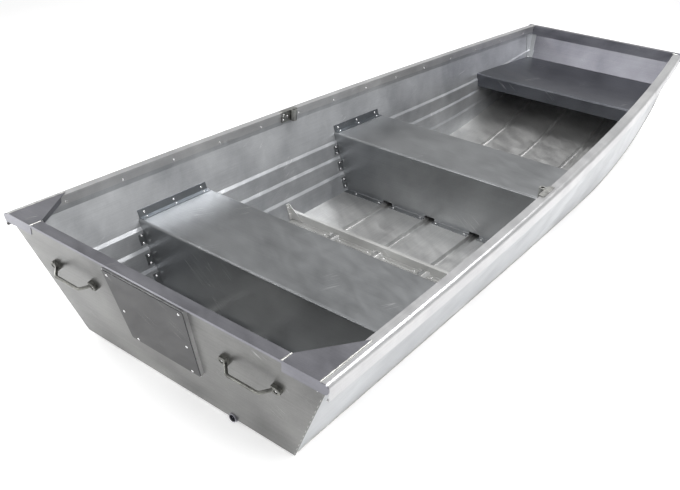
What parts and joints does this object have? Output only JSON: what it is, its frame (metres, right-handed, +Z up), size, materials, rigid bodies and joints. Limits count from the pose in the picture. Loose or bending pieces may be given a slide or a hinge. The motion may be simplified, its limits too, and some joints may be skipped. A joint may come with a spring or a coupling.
{
  "type": "jon boat",
  "caption": "Open flat-bottomed aluminium boat with raked ends, bench seats, bow deck, motor pad, carry handles and oarlock sockets.",
  "frame": {"origin": "on the ground under the middle of the overall length, on the centreline", "axes": "+X to starboard, +Y forward to the bow, +Z up"},
  "size_m": [1.17, 3.0494, 0.428],
  "materials": {
    "plating": "mill-finish sheet, bright",
    "bench_sheet": "satin sheet",
    "extrusion": "mill-finish extrusion",
    "cast": "tumbled casting",
    "wear_plate": "dark satin coating"
  },
  "bodies": {
    "root": {"bench_aft": "bench_sheet", "bench_aft_angle_port": "bench_sheet", "bench_aft_angle_starboard": "bench_sheet", "bench_mid": "bench_sheet", "bench_mid_angle_port": "bench_sheet", "bench_mid_angle_starboard": "bench_sheet", "bottom": "plating", "bow_cap": "extrusion", "bow_corner_port": "plating", "bow_corner_starboard": "plating", "bow_deck": "bench_sheet", "bow_handle_port": "cast", "bow_handle_starboard": "cast", "bow_panel": "plating", "deck_angle_port": "plating", "deck_angle_starboard": "plating", "drain_tube": "extrusion", "floor_rib": "plating", "gunwale_port": "extrusion", "gunwale_starboard": "extrusion", "motor_pad": "extrusion", "motor_plate": "wear_plate", "oarlock_port": "cast", "oarlock_starboard": "cast", "rib_gusset_port": "plating", "rib_gusset_starboard": "plating", "side_port": "plating", "side_starboard": "plating", "stern_corner_port": "extrusion", "stern_corner_starboard": "extrusion", "stern_handle_port": "cast", "stern_handle_starboard": "cast", "transom": "plating", "transom_cap": "extrusion", "transom_inner_plate": "bench_sheet"}
  },
  "joints": []
}
